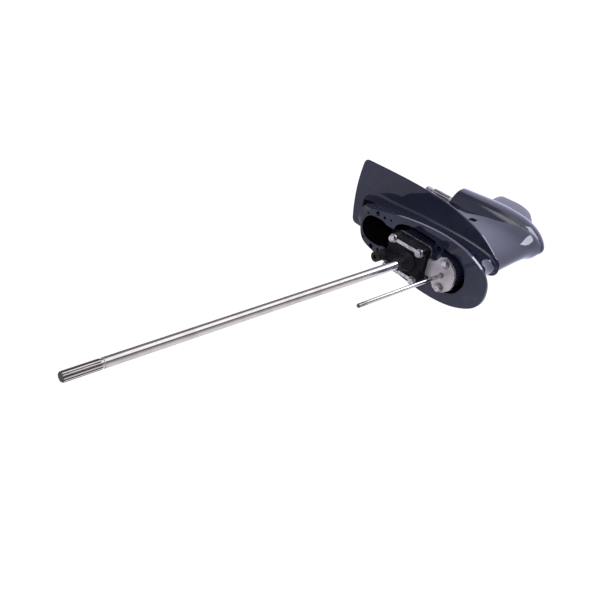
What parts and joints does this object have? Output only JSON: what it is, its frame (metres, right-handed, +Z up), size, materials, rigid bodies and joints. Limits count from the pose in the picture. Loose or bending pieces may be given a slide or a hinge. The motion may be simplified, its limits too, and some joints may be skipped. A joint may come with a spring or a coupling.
{
  "type": "outboard lower unit",
  "caption": "Outboard motor lower unit: gearcase with anti-ventilation plate, torpedo and skeg, long splined driveshaft, water pump, shift rod and splined propeller shaft.",
  "frame": {"origin": "where the driveshaft's axis crosses the gearcase's top mating face", "axes": "+X forward to the nose, +Y to port, +Z up along the driveshaft"},
  "size_m": [0.447, 0.16, 1.207],
  "materials": {
    "case_paint": "gloss dark metallic blue-grey paint on cast aluminium",
    "polished_steel": "ground and polished stainless steel",
    "gear_steel": "hardened and ground gear steel",
    "bearing_steel": "ground bearing steel",
    "bright_bolt": "plain stainless steel, slightly warm",
    "retainer_plate": "satin bare metal plate",
    "brushed_plate": "thin rolled stainless sheet",
    "carrier_alloy": "dull cast aluminium",
    "anode_zinc": "dull bare anode metal",
    "black_plastic": "moulded black glass-filled plastic",
    "black_rubber": "black rubber",
    "gasket": "grey sheet gasket"
  },
  "bodies": {
    "gearcase": {"gearcase_housing": "case_paint", "trim_tab": "anode_zinc", "water_tube_grommet": "black_rubber", "driveshaft_seals": "black_rubber", "shift_rod_seal": "black_rubber", "carrier_o_ring": "black_rubber", "propshaft_seals": "black_rubber", "pump_bolts": "bright_bolt", "pump_bolt_strips": "bright_bolt", "retainer_bolts": "bright_bolt", "trim_tab_bolt": "bright_bolt", "oil_plugs": "bright_bolt", "shift_rod_retainer": "retainer_plate", "pinion_bearing_cup": "bearing_steel", "forward_bearing_cup": "bearing_steel", "reverse_bearing_cup": "bearing_steel", "upper_shaft_bearing": "bearing_steel", "carrier_needle_bearing": "bearing_steel", "water_pump_housing": "black_plastic", "driveshaft_seal_carrier": "black_plastic", "tab_bolt_plug": "black_plastic", "water_inlet_screens": "black_plastic", "pump_cup": "brushed_plate", "pump_base_plate": "brushed_plate", "pump_gaskets": "gasket", "retainer_gasket": "gasket", "oil_plug_gaskets": "gasket", "bearing_carrier": "carrier_alloy", "carrier_ring_nut": "carrier_alloy"},
    "driveshaft_body": {"driveshaft": "polished_steel", "driveshaft_slinger": "black_rubber", "pinion_gear": "gear_steel", "pinion_nut": "bright_bolt", "pinion_bearing_cone": "bearing_steel", "impeller": "black_rubber", "impeller_key": "gear_steel"},
    "forward_gear_body": {"forward_gear": "gear_steel", "forward_bearing_cone": "bearing_steel"},
    "reverse_gear_body": {"reverse_gear": "gear_steel", "reverse_bearing_cone": "bearing_steel"},
    "propeller_shaft_body": {"propeller_shaft": "polished_steel"},
    "clutch_body": {"clutch_dog": "gear_steel", "clutch_cross_pin": "gear_steel", "cross_pin_ring": "gear_steel", "shift_plunger": "gear_steel"},
    "follower_body": {"cam_follower": "gear_steel"},
    "shift_rod_body": {"shift_rod": "polished_steel", "shift_cam": "gear_steel", "shift_rod_clip": "bright_bolt"}
  },
  "joints": [
    {"name": "driveshaft_spin", "type": "hinge", "parent": "gearcase", "child": "driveshaft_body", "pos_m": [0, 0, 0], "axis": [0, 0, 1], "continuous": true},
    {"name": "forward_gear_spin", "type": "hinge", "parent": "gearcase", "child": "forward_gear_body", "pos_m": [0, 0, -0.283], "axis": [1, 0, 0], "continuous": true},
    {"name": "reverse_gear_spin", "type": "hinge", "parent": "gearcase", "child": "reverse_gear_body", "pos_m": [0, 0, -0.283], "axis": [1, 0, 0], "continuous": true},
    {"name": "propeller_shaft_spin", "type": "hinge", "parent": "gearcase", "child": "propeller_shaft_body", "pos_m": [0, 0, -0.283], "axis": [1, 0, 0], "continuous": true},
    {"name": "shift_turn", "type": "hinge", "parent": "gearcase", "child": "shift_rod_body", "pos_m": [0.07, 0, 0], "axis": [0, 0, 1], "range_deg": [-35, 35]},
    {"name": "follower_slide", "type": "slide", "parent": "gearcase", "child": "follower_body", "axis": [1, 0, 0], "range_m": [-0.00385, 0.00385]},
    {"name": "clutch_slide", "type": "slide", "parent": "propeller_shaft_body", "child": "clutch_body", "axis": [1, 0, 0], "range_m": [-0.00385, 0.00385]}
  ],
  "couplings": [
    {"joint": "forward_gear_spin", "follows": "driveshaft_spin", "ratio": -0.54167},
    {"joint": "reverse_gear_spin", "follows": "driveshaft_spin", "ratio": 0.54167},
    {"joint": "follower_slide", "follows": "clutch_slide", "ratio": 1},
    {"joint": "shift_turn", "follows": "clutch_slide", "rad_per_m": 158.6}
  ]
}
